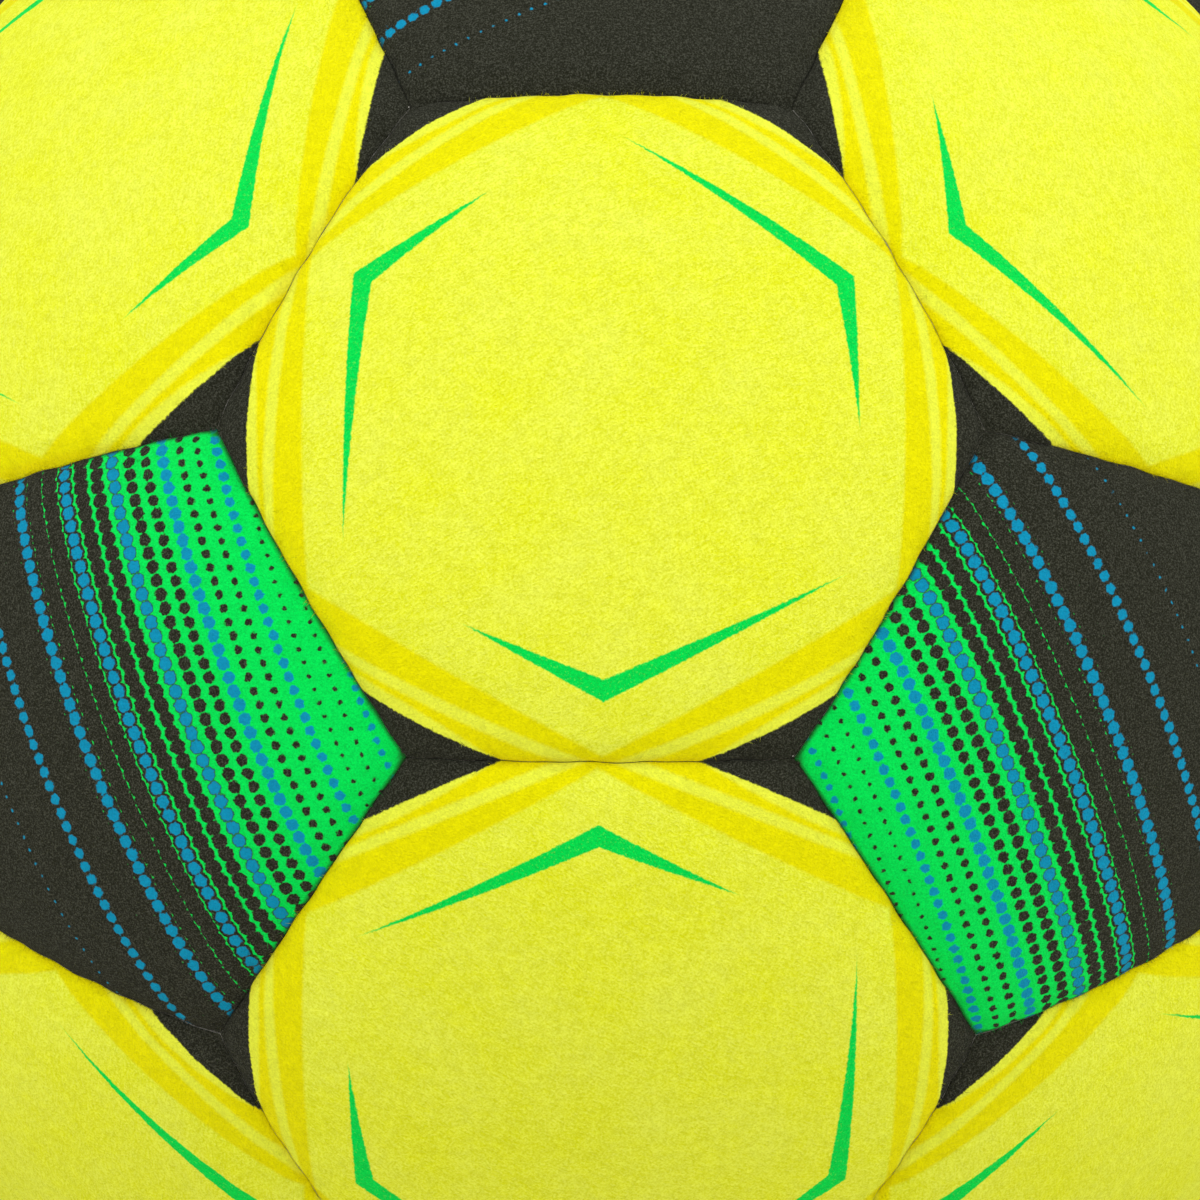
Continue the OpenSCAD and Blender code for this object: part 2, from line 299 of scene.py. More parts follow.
def felt_fuzz(form, per_edge, on_field, seed, clear_r=0.0):
    """Loose fibres of the nap, close together at the seams and sparse on the panel's face."""
    draw = np.random.default_rng(seed)
    sides, reach = form["sides"], form["reach"]
    edge_half = math.tan(math.pi / sides)
    edge = draw.integers(0, sides, per_edge * sides)
    inward = 1 - (SEAM_HALF_GAP * 2 + draw.exponential(SEAM_FUZZ_DEPTH, len(edge))) / reach
    along = draw.uniform(-edge_half, edge_half, len(edge)) * inward
    turn = form["turns"][edge]
    seam_xy = np.column_stack([
        inward * np.cos(turn) - along * np.sin(turn), inward * np.sin(turn) + along * np.cos(turn)
    ])
    field_xy = draw.uniform(-FIELD_FUZZ_SPREAD, FIELD_FUZZ_SPREAD, (on_field * 2, 2))
    xy = np.concatenate([seam_xy, field_xy])
    long = np.concatenate([
        draw.uniform(*SEAM_FUZZ_LENGTH, len(seam_xy)), draw.uniform(*FIELD_FUZZ_LENGTH, len(field_xy))
    ])
    lean = draw.normal(0, FUZZ_LEAN, (len(xy), 3))
    bend = draw.normal(0, FUZZ_BEND, (len(xy), 3))
    kept = across_edges(form, xy).max(axis=1) < 1 - SEAM_HALF_GAP / reach
    kept &= np.linalg.norm(xy, axis=1) * reach > clear_r
    xy, long, lean, bend = xy[kept], long[kept][:, None], lean[kept], bend[kept]
    step = NORMAL_STEP / reach
    root = on_felt(form, xy)
    normal = np.cross(on_felt(form, xy + [step, 0]) - root, on_felt(form, xy + [0, step]) - root)
    normal /= np.linalg.norm(normal, axis=1, keepdims=True)
    way = normal + lean
    way -= normal * np.minimum((way * normal).sum(axis=1, keepdims=True) - LEAST_RISE, 0)
    way /= np.linalg.norm(way, axis=1, keepdims=True)
    side = np.cross(way, bend)
    side /= np.linalg.norm(side, axis=1, keepdims=True)
    other = np.cross(way, side)
    middle, tip = (root + way * long * up + bend * long * off for up, off in (FIBRE_MIDDLE, FIBRE_TIP))
    places = []
    for centre, width in ((root - normal * FUZZ_SINK, 1.0), (middle, MIDDLE_WIDTH)):
        for k in range(3):
            turn = 2 * math.pi * k / 3
            places.append(centre + (side * math.cos(turn) + other * math.sin(turn)) * FUZZ_WIDTH * width)
    places.append(tip)
    first = np.arange(len(xy))[:, None] * FIBRE_POINTS
    walls = [[k, (k + 1) % 3, 3 + (k + 1) % 3, 3 + k] for k in range(3)]
    points = [[3 + k, 3 + (k + 1) % 3, 6] for k in range(3)]
    faces = [row for wall in walls for row in (first + wall).tolist()]
    faces += [row for point in points + [[2, 1, 0]] for row in (first + point).tolist()]
    mesh = bpy.data.meshes.new("fuzz")
    mesh.from_pydata(np.stack(places, axis=1).reshape(-1, 3).tolist(), [], faces)
    corners = corner_vertices(mesh)
    spread = np.array([[0, 0], [1, 0], [0, 1], [0, 1], [1, 1], [1, 0], [0.5, 0.5]])[corners % FIBRE_POINTS]
    roots = xy[corners // FIBRE_POINTS]
    corner = 1 / math.cos(math.pi / sides)
    lay_map(mesh, "panel_print", roots + spread * FIBRE_PRINT / reach)
    baked = np.array(FUZZ_BAKE_PLACE) + SMALL_BAKE_REACH * roots / corner
    lay_map(mesh, "OFBake", baked + spread * FIBRE_BAKE)
    mesh.polygons.foreach_set("use_smooth", [True] * len(mesh.polygons))
    fuzz = bpy.data.objects.new("fuzz", mesh)
    bpy.context.scene.collection.objects.link(fuzz)
    return fuzz


def with_fuzz(panel, form, fuzz):
    """Smooths the panel, gives it its maps, and sets the fibres in it."""
    print_maps(panel, form)
    bpy.ops.object.select_all(action="DESELECT")
    panel.select_set(True)
    bpy.context.view_layer.objects.active = panel
    bpy.ops.object.shade_smooth_by_angle(angle=FELT_SMOOTH_ANGLE)
    fuzz.select_set(True)
    bpy.ops.object.join()


PRINT_FREE = 0.85
PRINT_HELD = 1.15


def move_print(mesh, shift, twist):
    """Sets a panel's print a little off its middle, and turns it. The seams hold the corners true."""
    places = np.zeros(len(mesh.loops) * 2, np.float32)
    mesh.uv_layers["panel_print"].data.foreach_get("uv", places)
    places = places.reshape(-1, 2)
    out = np.linalg.norm(places, axis=1, keepdims=True)
    held = np.clip((out - PRINT_FREE) / (PRINT_HELD - PRINT_FREE), 0, 1)
    loose = 1 - held ** 2 * (3 - 2 * held)
    c, s = math.cos(twist), math.sin(twist)
    lay_map(mesh, "panel_print", (places - np.asarray(shift) * loose) @ np.array([[c, -s], [s, c]]))


def sewn_copy(template, name, turn, finish, replaced, shift=(0, 0), twist=0.0):
    """A copy of a panel with its own mesh, turned to its place on the ball."""
    mesh = template.data.copy()
    mesh.name = name
    move_print(mesh, shift, twist)
    mesh.transform(turn)
    mesh.materials.clear()
    mesh.materials.append(finish)
    piece = bpy.data.objects.new(name, mesh)
    bpy.context.scene.collection.objects.link(piece)
    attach(piece, "ball")
    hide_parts(replaced)


def add_node(tree, kind, inputs=(), **settings):
    """A node with its settings, and its inputs linked or set."""
    made = tree.nodes.new(kind)
    for name, value in settings.items():
        setattr(made, name, value)
    for name, value in dict(inputs).items():
        feed(tree, made.inputs[name], value)
    return made


def feed(tree, socket, value):
    """Links an input to another node's output, or sets it."""
    if isinstance(value, bpy.types.NodeSocket):
        tree.links.new(value, socket)
    else:
        socket.default_value = value


def calc(tree, operation, *values):
    """A Math node's result."""
    return add_node(tree, "ShaderNodeMath", enumerate(values), operation=operation).outputs[0]


def soft_step(tree, value, low, high, start=0.0, end=1.0):
    """A smooth rise from start to end between two values."""
    made = add_node(
        tree, "ShaderNodeMapRange",
        {"Value": value, "From Min": low, "From Max": high, "To Min": start, "To Max": end},
        interpolation_type="SMOOTHSTEP",
    )
    return made.outputs["Result"]


def mix_colour(tree, amount, under, over, blend="MIX"):
    """One colour over another, by an amount."""
    made = add_node(tree, "ShaderNodeMix", data_type="RGBA", blend_type=blend)
    feed(tree, made.inputs[0], amount)
    feed(tree, made.inputs[6], under)
    feed(tree, made.inputs[7], over)
    return made.outputs[2]


def noise(tree, vector, size, detail=2.0, roughness=0.5, distortion=0.0):
    """Noise with blots of about that size."""
    made = add_node(tree, "ShaderNodeTexNoise", {
        "Vector": vector, "Scale": 1 / size, "Detail": detail, "Roughness": roughness,
        "Distortion": distortion,
    })
    return made.outputs[0]


def weighted(tree, *parts):
    """The sum of some values, each with its weight."""
    total = 0.0
    for value, weight in parts:
        total = calc(tree, "MULTIPLY_ADD", value, weight, total)
    return total


def distance_out(tree, x, y):
    """How far a place lies from the middle."""
    return calc(tree, "SQRT", calc(tree, "ADD", calc(tree, "MULTIPLY", x, x), calc(tree, "MULTIPLY", y, y)))


def turn_in_sector(tree, turn, sector, start=0.0):
    """How far a place is turned from the middle of the sector that it lies in."""
    into = calc(tree, "FLOORED_MODULO", calc(tree, "ADD", turn, start), sector)
    return calc(tree, "SUBTRACT", into, sector / 2)


def raise_surface(tree, shader, height, depth, strength=1.0):
    """Lets a height stand out on the surface, by up to that depth."""
    bump = add_node(tree, "ShaderNodeBump", {"Strength": strength, "Distance": depth, "Height": height})
    feed(tree, shader.inputs["Normal"], bump.outputs[0])


def new_group(name, inputs, outputs):
    """A node group with named sockets, its input node and its output node."""
    group = bpy.data.node_groups.new(name, "ShaderNodeTree")
    for socket, kind in inputs:
        group.interface.new_socket(socket, in_out="INPUT", socket_type=kind)
    for socket, kind in outputs:
        group.interface.new_socket(socket, in_out="OUTPUT", socket_type=kind)
    return group, group.nodes.new("NodeGroupInput"), group.nodes.new("NodeGroupOutput")


def new_finish(name, **sockets):
    """A material, its tree and its shader with values that are the same all over."""
    finish = bpy.data.materials.new(name)
    finish.use_nodes = True
    tree = finish.node_tree
    shader = tree.nodes["Principled BSDF"]
    for socket, value in sockets.items():
        shader.inputs[socket.replace("_", " ")].default_value = value
    return finish, tree, shader


def object_place(tree):
    """The place on the piece, in its own coordinates."""
    return add_node(tree, "ShaderNodeTexCoord").outputs["Object"]


# The nap of needle felt: short fibres that lie in all directions, small hollows and a few pale loose ends
GRAIN_SIZE = 0.27 * MM
HOLLOW_SIZE = 1.3 * MM
CLOUD_SIZE = 8 * MM
FIBRE_LENGTH = 1.1 * MM
FIBRE_SLIMNESS = 4.5
FIBRE_LIES = (0, 60, 120)
FLECK_SIZE = 0.2 * MM
INK_GRAIN_SIZE = 0.3 * MM
RAGGED_SIZE = 0.4 * MM
THIN_INK = 0.72
nap, nap_in, nap_out = new_group(
    "felt_nap",
    [("Vector", "NodeSocketVector"), ("Pattern", "NodeSocketVector")],
    [("Paleness", "NodeSocketFloat"), ("Height", "NodeSocketFloat"), ("Fleck", "NodeSocketFloat"),
     ("Ragged", "NodeSocketFloat"), ("Ink", "NodeSocketFloat")],
)
nap_place = nap_in.outputs["Vector"]
nap_grain = noise(nap, nap_place, GRAIN_SIZE, detail=3.0, roughness=0.65, distortion=0.3)
nap_hollow = noise(nap, nap_place, HOLLOW_SIZE, distortion=0.2)
nap_cloud = noise(nap, nap_place, CLOUD_SIZE)
nap_fibres = 0.0
for lie in FIBRE_LIES:
    laid = add_node(nap, "ShaderNodeMapping", {
        "Vector": nap_in.outputs["Pattern"], "Rotation": (0, 0, math.radians(lie)),
        "Scale": (1, FIBRE_SLIMNESS, 1),
    }, vector_type="POINT").outputs[0]
    laid_fibres = noise(nap, laid, FIBRE_LENGTH, roughness=0.6, distortion=0.6)
    nap_fibres = calc(nap, "ADD", nap_fibres, laid_fibres)
nap_fibres = calc(nap, "DIVIDE", nap_fibres, len(FIBRE_LIES))
pale = weighted(nap, (nap_grain, 0.42), (nap_fibres, 0.4), (nap_cloud, 0.18))
feed(nap, nap_out.inputs["Paleness"], soft_step(nap, pale, 0.38, 0.62))
height = weighted(nap, (nap_grain, 0.5), (nap_hollow, 0.2), (nap_fibres, 0.3))
feed(nap, nap_out.inputs["Height"], height)
fleck = noise(nap, nap_place, FLECK_SIZE, detail=3.0, roughness=0.75)
feed(nap, nap_out.inputs["Fleck"], soft_step(nap, fleck, 0.43, 0.68))
ink = noise(nap, nap_place, INK_GRAIN_SIZE, detail=3.0, roughness=0.7, distortion=0.4)
feed(nap, nap_out.inputs["Ink"], soft_step(nap, ink, 0.56, 0.8, 1.0, THIN_INK))
feed(nap, nap_out.inputs["Ragged"], calc(nap, "SUBTRACT", noise(nap, nap_place, RAGGED_SIZE), 0.5))

YELLOW = (0.845, 0.90, 0.008, 1)
PALE_YELLOW = (0.88, 0.955, 0.1, 1)
STRIPE_PALE = (0.885, 0.945, 0.06, 1)
DEEP_YELLOW = (0.865, 0.825, 0.0, 1)
SECOND_YELLOW = (0.885, 0.83, 0.0, 1)
PRINT_GREEN = (0.001, 0.80, 0.09, 1)
GREEN_SHADE = (0.001, 0.50, 0.05, 1)
FELT_BLACK = (0.0155, 0.0165, 0.0095, 1)
FLECK_GREY = (0.115, 0.118, 0.09, 1)
# The darker orange of the painted shade where a hexagon's edge rolls into its seam
SEAM_SHADE_ORANGE = (0.74, 0.55, 0.0, 1)
PRINT_SOFTNESS = 0.006
STRIPE_SOFTNESS = 0.015
CHEVRON_INNER = 0.749
CHEVRON_OUTER = 0.8155
LONG_ARM_SLOPES = (0.44, 0.54)
SHORT_ARM_SLOPES = (0.40, 0.575)
PRINT_RAGGED = 0.01
NAP_HEIGHTS = (0.37, 0.63)
NAP_SHADES = (0.86, 1.035)
NAP_DEPTH = 0.55 * MM
FLECK_STRENGTH = 0.6
SPECK_STRENGTH = 0.5
# Where the painted seam shade starts towards the edge, and how strong it gets there
SEAM_SHADE_START = 0.972
SEAM_SHADE_STRENGTH = 0.3
HEX_PATTERN = 40 * MM


def felt_finish(name, pattern_size):
    """The start of a felt material: places on the pattern and the nap."""
    finish, tree, shader = new_finish(
        name, Roughness=0.95, Sheen_Weight=0.03, Sheen_Roughness=0.5, Sheen_Tint=(1, 1, 0.9, 1),
        Specular_IOR_Level=0.03,
    )
    pattern = add_node(tree, "ShaderNodeUVMap", uv_map="panel_print").outputs[0]
    laid = add_node(tree, "ShaderNodeVectorMath", {0: pattern, "Scale": pattern_size}, operation="SCALE")
    felt = add_node(tree, "ShaderNodeGroup", node_tree=nap)
    feed(tree, felt.inputs["Vector"], object_place(tree))
    feed(tree, felt.inputs["Pattern"], laid.outputs[0])
    pattern = add_node(tree, "ShaderNodeSeparateXYZ", {"Vector": pattern}).outputs
    return finish, tree, shader, felt.outputs, pattern[0], pattern[1]


def specked(tree, felt, green):
    """Green ink with darker specks, where it sinks into the nap."""
    return mix_colour(tree, calc(tree, "MULTIPLY", felt["Fleck"], SPECK_STRENGTH), green, GREEN_SHADE)


def flecked(tree, felt, colour, black_part):
    """A print with the pale loose ends that show on its black parts."""
    flecks = calc(tree, "MULTIPLY", felt["Fleck"], calc(tree, "MULTIPLY", black_part, FLECK_STRENGTH))
    return mix_colour(tree, flecks, colour, FLECK_GREY)


def napped(tree, shader, felt, colour):
    """Lays the nap's light and shade and its height on a printed colour."""
    shade = soft_step(tree, felt["Height"], *NAP_HEIGHTS, *NAP_SHADES)
    shade = add_node(tree, "ShaderNodeCombineColor", {"Red": shade, "Green": shade, "Blue": shade}).outputs[0]
    feed(tree, shader.inputs["Base Color"], mix_colour(tree, 1.0, colour, shade, "MULTIPLY"))
    raise_surface(tree, shader, felt["Height"], NAP_DEPTH)


hex_finish, tree, shader, felt, print_x, print_y = felt_finish("yellow_felt", HEX_PATTERN)
out = distance_out(tree, print_x, print_y)
turn = calc(tree, "ARCTAN2", print_y, print_x)
third = turn_in_sector(tree, turn, math.radians(120))
ragged = calc(tree, "MULTIPLY", felt["Ragged"], PRINT_RAGGED)
to_corner = calc(tree, "SUBTRACT", calc(tree, "ABSOLUTE", third), math.radians(30))
corner_x = calc(tree, "ADD", calc(tree, "MULTIPLY", out, calc(tree, "COSINE", to_corner)), ragged)
corner_y = calc(tree, "MULTIPLY", calc(tree, "MULTIPLY", out, calc(tree, "SINE", to_corner)), -1.0)
corner_yy = calc(tree, "MULTIPLY", corner_y, corner_y)
hex_colour = mix_colour(tree, felt["Paleness"], YELLOW, PALE_YELLOW)
# Each stripe's inner edge crosses a corner's middle line at the first number and bends by the others
for printed, softness, middle, slope, bend in (
    (DEEP_YELLOW, STRIPE_SOFTNESS, 0.85, 0.0, 0.0),
    (STRIPE_PALE, STRIPE_SOFTNESS, 0.935, -0.0788, -0.056),
    (SECOND_YELLOW, STRIPE_SOFTNESS, 0.9704, -0.0655, -0.0845),
    (STRIPE_PALE, STRIPE_SOFTNESS, 1.0002, 0.0296, 0.1587),
    (FELT_BLACK, PRINT_SOFTNESS, 1.0320, -0.0504, -0.1566),
):
    line = calc(tree, "MULTIPLY_ADD", corner_y, slope, middle)
    line = calc(tree, "MULTIPLY_ADD", corner_yy, bend, line)
    past = calc(tree, "SUBTRACT", corner_x, line)
    inked = soft_step(tree, past, -softness / 2, softness / 2)
    hex_colour = mix_colour(tree, inked, hex_colour, printed)
black_part = inked
# A chevron points at each seam with another hexagon, with one arm longer than the other
chevron_p = calc(tree, "ADD", calc(tree, "MULTIPLY", out, calc(tree, "COSINE", third)), ragged)
chevron_q = calc(tree, "MULTIPLY", out, calc(tree, "SINE", third))
long_arm = calc(tree, "GREATER_THAN", chevron_q, 0.0)
arm = calc(tree, "ABSOLUTE", chevron_q)
chevron = 1.0
for line, start, end, long_slope, short_slope in zip(
    (CHEVRON_INNER, CHEVRON_OUTER), (0.0, 1.0), (1.0, 0.0), LONG_ARM_SLOPES, SHORT_ARM_SLOPES
):
    slope = calc(tree, "MULTIPLY_ADD", long_arm, long_slope - short_slope, short_slope)
    past = calc(tree, "MULTIPLY_ADD", arm, slope, chevron_p)
    inside = soft_step(tree, past, line - PRINT_SOFTNESS / 2, line + PRINT_SOFTNESS / 2, start, end)
    chevron = calc(tree, "MULTIPLY", chevron, inside)
chevron_ink = calc(tree, "MULTIPLY", chevron, felt["Ink"])
hex_colour = mix_colour(tree, chevron_ink, hex_colour, specked(tree, felt, PRINT_GREEN))
hex_colour = flecked(tree, felt, hex_colour, black_part)
# Painted shade: the yellow is mixed towards a darker orange where the edge rolls into the seam
sixth = turn_in_sector(tree, turn, math.radians(60), math.radians(30))
to_edge = calc(tree, "MULTIPLY", out, calc(tree, "COSINE", sixth))
seam_shaded = soft_step(tree, to_edge, SEAM_SHADE_START, 1.0, 0.0, SEAM_SHADE_STRENGTH)
seam_shaded = calc(tree, "MULTIPLY", seam_shaded, calc(tree, "SUBTRACT", 1.0, black_part))
hex_colour = mix_colour(tree, seam_shaded, hex_colour, SEAM_SHADE_ORANGE)
napped(tree, shader, felt, hex_colour)

COVER_HOLE_R = 4.6 * MM
PUNCH_LENGTH = 20 * MM
PUNCH_SIDES = 96
FUZZ_CLEARANCE = 0.2 * MM
SEAM_FIBRES = 330
HEX_FIELD_FIBRES = 700
HEX_FUZZ_SEED = 11
valve_axis = Vector((-1 / phi, 0, phi))
hex_form = panel_form(6, hex_edge_angle)
hex_panel = felt_panel("hexagon_pattern", hex_form)
holed_panel = hex_panel.copy()
holed_panel.data = hex_panel.data.copy()
bpy.context.scene.collection.objects.link(holed_panel)
with_fuzz(hex_panel, hex_form, felt_fuzz(hex_form, SEAM_FIBRES, HEX_FIELD_FIBRES, HEX_FUZZ_SEED))

# The valve's hole is punched through one panel
bpy.ops.object.select_all(action="DESELECT")
bpy.ops.mesh.primitive_cylinder_add(
    vertices=PUNCH_SIDES, radius=COVER_HOLE_R, depth=PUNCH_LENGTH, location=(0, 0, BALL_R - FELT_T)
)
punch = bpy.context.object
bpy.context.view_layer.objects.active = holed_panel
hole = holed_panel.modifiers.new("valve_hole", "BOOLEAN")
hole.object = punch
hole.operation = "DIFFERENCE"
hole.solver = "EXACT"
bpy.ops.object.modifier_apply(modifier=hole.name)
bpy.data.objects.remove(punch)
holed_fuzz = felt_fuzz(
    hex_form, SEAM_FIBRES, HEX_FIELD_FIBRES, HEX_FUZZ_SEED, clear_r=COVER_HOLE_R + FUZZ_CLEARANCE
)
with_fuzz(holed_panel, hex_form, holed_fuzz)

# The cutting die never lands quite true: the way a panel faces, how far its print is off in mm, and its twist
PRINT_ERRORS = (
    ((0, -1, 0.4), (0.3, 0, 0.25), 0.0), ((0, -1, -0.4), (0.2, 0, 0.05), math.radians(0.7)),
    ((-0.6, -0.6, 0.6), (-1.05, 0, 1.75), math.radians(-1.4)), ((0.6, -0.6, 0.6), (0.1, 0, 0), 0.0),
)
HEX_PRINT = 41.5 * MM
SAME_WAY = 0.2
for f, face in enumerate(hex_faces):
    turn = facing(hex_axes[f], pent_axes[face[0]])
    shift, twist = (0, 0), 0.0
    for way, off, off_twist in PRINT_ERRORS:
        if hex_axes[f].angle(Vector(way)) < SAME_WAY:
            shift = np.array((turn.to_3x3().transposed() @ Vector(off))[:2]) * MM / HEX_PRINT
            twist = off_twist
    template = holed_panel if hex_axes[f].angle(valve_axis) < SAME_WAY else hex_panel
    sewn_copy(
        template, f"hexagon_panel_{f + 1:02d}", turn, hex_finish, f"hexagon_felt_{f + 1:02d}",
        shift, twist,
    )
bpy.data.objects.remove(hex_panel)
bpy.data.objects.remove(holed_panel)


# Pentagon felts
# Twelve panels of charcoal needle felt, printed green on one side. Straight rows of black and blue dots
# cross the green and grow together towards the black side. The panels are sewn like the hexagons.
PENT_GREEN = (0.001, 0.88, 0.11, 1)
PENT_BLUE = (0.004, 0.30, 0.52, 1)
DOT_PITCH = 0.052
DOT_ROW = 0.072
DOT_SOFTNESS = 0.006
DOT_RAGGED = 0.02
DOT_SLANT = math.radians(25)
# How the dots grow from row to row: between which rows, and from which size to which
BLACK_GROWTH = (-0.9, 0.18, 0.008, 0.05)
BLUE_GROWTH = (-1.1, -0.6, 0.012, 0.024)
BLUE_SHRINKING = (0.2, 0.6, 0.024, -0.006)
BLUE_EVERY = 3
# Thinned ink and painted shade: where the green darkens towards black at the seams and the corners, and how
# much of it is left
INK_SEAM_SHADE = (0.98, 1.0)
INK_CORNER_SHADE = (1.19, 1.22)
SHADED_INK = 0.25
PENT_PATTERN = 31.5 * MM
PENT_FIELD_FIBRES = 480
PENT_FUZZ_SEED = 12

pent_finish, tree, shader, felt, print_x, print_y = felt_finish("charcoal_felt", PENT_PATTERN)
down = weighted(tree, (print_x, math.cos(DOT_SLANT)), (print_y, math.sin(DOT_SLANT)))
side = weighted(tree, (print_y, math.cos(DOT_SLANT)), (print_x, -math.sin(DOT_SLANT)))
row = calc(tree, "FLOOR", calc(tree, "DIVIDE", down, DOT_ROW))
row_middle = calc(tree, "MULTIPLY", calc(tree, "ADD", row, 0.5), DOT_ROW)
stagger = calc(tree, "MULTIPLY", calc(tree, "FLOORED_MODULO", row, 2.0), 0.5)
in_row = calc(tree, "FRACT", calc(tree, "ADD", calc(tree, "DIVIDE", side, DOT_PITCH), stagger))
off_side = calc(tree, "MULTIPLY", calc(tree, "SUBTRACT", in_row, 0.5), DOT_PITCH)
off_row = calc(tree, "SUBTRACT", down, row_middle)
ragged = calc(tree, "MULTIPLY", felt["Ragged"], DOT_RAGGED)
off_dot = calc(tree, "ADD", distance_out(tree, off_side, off_row), ragged)


def dots(size):
    """Where a row's dots of that size are printed."""
    return soft_step(tree, calc(tree, "SUBTRACT", size, off_dot), -DOT_SOFTNESS / 2, DOT_SOFTNESS / 2)


def ramp(low, high, start, end):
    """A size that changes evenly from one row to another."""
    made = add_node(tree, "ShaderNodeMapRange", {
        "Value": row_middle, "From Min": low, "From Max": high, "To Min": start, "To Max": end,
    })
    return made.outputs["Result"]


blue_row = calc(tree, "LESS_THAN", calc(tree, "FLOORED_MODULO", row, BLUE_EVERY), 0.5)
black_part = dots(ramp(*BLACK_GROWTH))
# The ink thins where the felt folds into the seams and at the panel's corners, and painted shade darkens the
# green towards black there
out = distance_out(tree, print_x, print_y)
turn = calc(tree, "ARCTAN2", print_y, print_x)
fifth = turn_in_sector(tree, turn, math.radians(72), math.radians(36))
to_edge = calc(tree, "MULTIPLY", out, calc(tree, "COSINE", fifth))
ink_thin_and_shade = calc(tree, "MULTIPLY", soft_step(tree, to_edge, *INK_SEAM_SHADE, 1.0, SHADED_INK),
                soft_step(tree, out, *INK_CORNER_SHADE, 1.0, SHADED_INK))
ink = calc(tree, "MULTIPLY", ink_thin_and_shade, felt["Ink"])
green_ink = calc(tree, "MULTIPLY", calc(tree, "SUBTRACT", 1.0, black_part), ink)
pent_colour = mix_colour(tree, green_ink, FELT_BLACK, specked(tree, felt, PENT_GREEN))
blue_size = calc(tree, "MINIMUM", ramp(*BLUE_GROWTH), ramp(*BLUE_SHRINKING))
blue_part = calc(tree, "MULTIPLY", dots(blue_size), blue_row)
pent_colour = mix_colour(tree, calc(tree, "MULTIPLY", blue_part, ink), pent_colour, PENT_BLUE)
black_part = calc(tree, "MULTIPLY", black_part, calc(tree, "SUBTRACT", 1.0, blue_part))
napped(tree, shader, felt, flecked(tree, felt, pent_colour, black_part))

pent_edge_angle = pent_axes[hex_faces[0][0]].angle(
    4 * pent_axes[hex_faces[0][0]] + pent_axes[hex_faces[0][1]] + pent_axes[hex_faces[0][2]]
)
pent_form = panel_form(5, pent_edge_angle)
pent_panel = felt_panel("pentagon_pattern", pent_form)
with_fuzz(pent_panel, pent_form, felt_fuzz(pent_form, SEAM_FIBRES, PENT_FIELD_FIBRES, PENT_FUZZ_SEED))
for p, axis in enumerate(pent_axes):
    partner = Vector([-v if abs(abs(v) - 1) < 0.01 else v for v in axis])
    sewn_copy(
        pent_panel, f"pentagon_panel_{p + 1:02d}", facing(axis, axis - partner), pent_finish,
        f"pentagon_felt_{p + 1:02d}",
    )
bpy.data.objects.remove(pent_panel)


# Foam backs
# A layer of closed-cell foam behind each felt, laminated to it, in panels of the same outlines. The
# solids stay, and get the fine cells of sliced foam.
FOAM_CREAM = (0.80, 0.78, 0.71, 1)
FOAM_SHADE = (0.60, 0.57, 0.50, 1)
CELL_SIZE = 0.45 * MM
CELL_DEPTH = 0.12 * MM


def dress(finish, *names):
    """Gives a finish to solids that stay."""
    for name in names:
        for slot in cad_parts[name].material_slots:
            slot.material = finish


foam_finish, tree, shader = new_finish("cream_foam", Roughness=0.9, Specular_IOR_Level=0.2)
cells = add_node(tree, "ShaderNodeTexVoronoi", {"Vector": object_place(tree), "Scale": 1 / CELL_SIZE})
cell_wall = soft_step(tree, cells.outputs["Distance"], 0.1, 0.65)
feed(tree, shader.inputs["Base Color"], mix_colour(tree, cell_wall, FOAM_SHADE, FOAM_CREAM))
raise_surface(tree, shader, cell_wall, CELL_DEPTH, strength=0.8)
dress(foam_finish, "hexagon_foam", "pentagon_foam")


# Linings
# Woven cotton and polyester cloth glued behind the foam, with its edges turned in for the stitching.
# The solids stay, and get a plain weave.
LINING_THREAD = (0.66, 0.65, 0.60, 1)
LINING_GAP = (0.34, 0.33, 0.29, 1)
WEAVE_PITCH = 0.7 * MM
WEAVE_DEPTH = 0.1 * MM
SLUB_SIZE = 3 * MM
SLUB_STRENGTH = 0.35

lining_finish, tree, shader = new_finish("woven_lining", Roughness=0.88, Specular_IOR_Level=0.2)
axes = add_node(tree, "ShaderNodeSeparateXYZ", {"Vector": object_place(tree)}).outputs
over_under = 0.0
for first, second in itertools.combinations(range(3), 2):
    threads = [
        calc(tree, "SINE", calc(tree, "MULTIPLY", axes[k], 2 * math.pi / WEAVE_PITCH))
        for k in (first, second)
    ]
    over_under = calc(tree, "ADD", over_under, calc(tree, "MULTIPLY", *threads))
woven = soft_step(tree, over_under, -1.2, 1.2)
slub = noise(tree, object_place(tree), SLUB_SIZE, detail=3.0)
slub = soft_step(tree, slub, 0.4, 0.7, 0.0, SLUB_STRENGTH)
lining_colour = mix_colour(tree, woven, LINING_GAP, LINING_THREAD)
feed(tree, shader.inputs["Base Color"], mix_colour(tree, slub, lining_colour, FOAM_CREAM))
raise_surface(tree, shader, woven, WEAVE_DEPTH, strength=0.7)
dress(lining_finish, "hexagon_lining", "pentagon_lining")


# Seam threads
# Waxed polyester thread that sews the turned-in edges together from inside, so none of it shows on the
# finished ball. The solids stay, and get the twist of a laid thread.
THREAD_DARK = (0.018, 0.018, 0.016, 1)
THREAD_WAXED = (0.075, 0.072, 0.062, 1)
TWIST_PITCH = 2.2 * MM
TWIST_DEPTH = 0.1 * MM

thread_finish, tree, shader = new_finish("waxed_thread", Roughness=0.55, Specular_IOR_Level=0.4)
twist = add_node(tree, "ShaderNodeTexWave", {
    "Vector": object_place(tree), "Scale": 1 / TWIST_PITCH, "Distortion": 1.5, "Detail": 1.0,
}, wave_type="BANDS", bands_direction="DIAGONAL").outputs["Fac"]
feed(tree, shader.inputs["Base Color"], mix_colour(tree, twist, THREAD_DARK, THREAD_WAXED))
raise_surface(tree, shader, twist, TWIST_DEPTH, strength=0.8)
dress(thread_finish, "hexagon_seam_thread", "pentagon_seam_thread")


